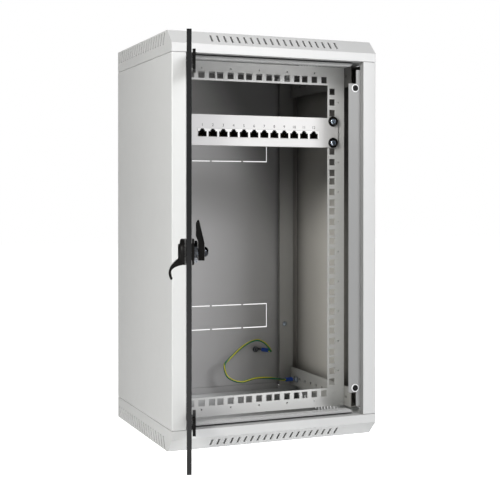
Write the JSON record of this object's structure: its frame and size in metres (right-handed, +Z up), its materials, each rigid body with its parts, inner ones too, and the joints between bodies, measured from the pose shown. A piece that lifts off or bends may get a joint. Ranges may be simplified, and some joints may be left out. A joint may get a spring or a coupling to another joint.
{
  "type": "network server rack cabinet",
  "caption": "Small wall-mounted network rack cabinet in folded sheet steel with a hinged tinted-glass door, a turning latch, a square-hole rack frame and a fitted patch panel.",
  "frame": {"origin": "centre of the cabinet's underside", "axes": "+Z up, -Y out of the door side, +X to the right for someone facing the door side"},
  "size_m": [0.3822, 0.5077, 0.57],
  "materials": {
    "shell_paint": "light grey powder coat, fine texture",
    "frame_paint": "light grey powder coat, fine texture",
    "panel_paint": "light grey powder coat, smooth",
    "white_plastic": "moulded, satin",
    "collar_plastic": "moulded, matt",
    "black_plastic": "moulded, satin",
    "black_rubber": "matt",
    "tinted_glass": "toughened, light tint, polished edges",
    "zinc_plate": "bright zinc plate",
    "spring_steel": "dull zinc plate",
    "blue_plastic": "moulded, satin",
    "earth_green": "green wire sleeve with a yellow stripe"
  },
  "bodies": {
    "cabinet": {"top_cover": "shell_paint", "bottom_cover": "shell_paint", "side_shell_left": "shell_paint", "side_shell_right": "shell_paint", "rear_panel": "frame_paint", "rear_post_left": "frame_paint", "rear_post_right": "frame_paint", "depth_rail_upper_left": "frame_paint", "depth_rail_upper_right": "frame_paint", "depth_rail_lower_left": "frame_paint", "depth_rail_lower_right": "frame_paint", "rack_frame": "frame_paint", "patch_panel_plate": "panel_paint", "patch_panel_jacks": "white_plastic", "bumper_collar_upper": "collar_plastic", "bumper_collar_lower": "collar_plastic", "cup_washer_1": "black_plastic", "cup_washer_2": "black_plastic", "cup_washer_3": "black_plastic", "cup_washer_4": "black_plastic", "door_bumper_upper": "black_rubber", "door_bumper_lower": "black_rubber", "panel_screw_1": "zinc_plate", "panel_screw_2": "zinc_plate", "panel_screw_3": "zinc_plate", "panel_screw_4": "zinc_plate", "rack_frame_screw_upper_left": "zinc_plate", "rack_frame_screw_upper_right": "zinc_plate", "rack_frame_screw_lower_left": "zinc_plate", "rack_frame_screw_lower_right": "zinc_plate", "rear_post_screw_upper_left": "zinc_plate", "rear_post_screw_upper_right": "zinc_plate", "rear_post_screw_lower_left": "zinc_plate", "rear_post_screw_lower_right": "zinc_plate", "ring_terminal_rear": "zinc_plate", "ring_terminal_rail": "zinc_plate", "earth_stud_nut": "zinc_plate", "earth_screw": "zinc_plate", "cage_nut_1": "spring_steel", "cage_nut_2": "spring_steel", "cage_nut_3": "spring_steel", "cage_nut_4": "spring_steel", "terminal_boot_rear": "blue_plastic", "terminal_boot_rail": "blue_plastic", "earth_wire": "earth_green"},
    "door": {"door_glass": "tinted_glass", "hinge_leaf_upper": "black_plastic", "hinge_leaf_lower": "black_plastic", "hinge_pad_upper": "black_rubber", "hinge_pad_lower": "black_rubber", "hinge_pin_upper": "zinc_plate", "hinge_pin_lower": "zinc_plate", "lock_body": "black_plastic", "lock_washer": "black_plastic", "lock_nut": "zinc_plate"},
    "handle": {"lock_handle": "black_plastic", "lock_spindle": "zinc_plate", "lock_cam": "black_plastic", "cam_screw": "zinc_plate"},
    "lock_core": {"lock_core": "black_plastic"}
  },
  "joints": [
    {"name": "door_hinge", "type": "hinge", "parent": "cabinet", "child": "door", "pos_m": [-0.1285, -0.1295, 0.285], "axis": [0, 0, 1], "range_deg": [-10.3, 109.7]},
    {"name": "handle_turn", "type": "hinge", "parent": "door", "child": "handle", "pos_m": [-0.20283, -0.33709, 0.2825], "axis": [0.9415, -0.3371, 0], "range_deg": [0, 90]},
    {"name": "key_turn", "type": "hinge", "parent": "handle", "child": "lock_core", "pos_m": [-0.20283, -0.33709, 0.2825], "axis": [0.9415, -0.3371, 0], "range_deg": [0, 90]}
  ]
}
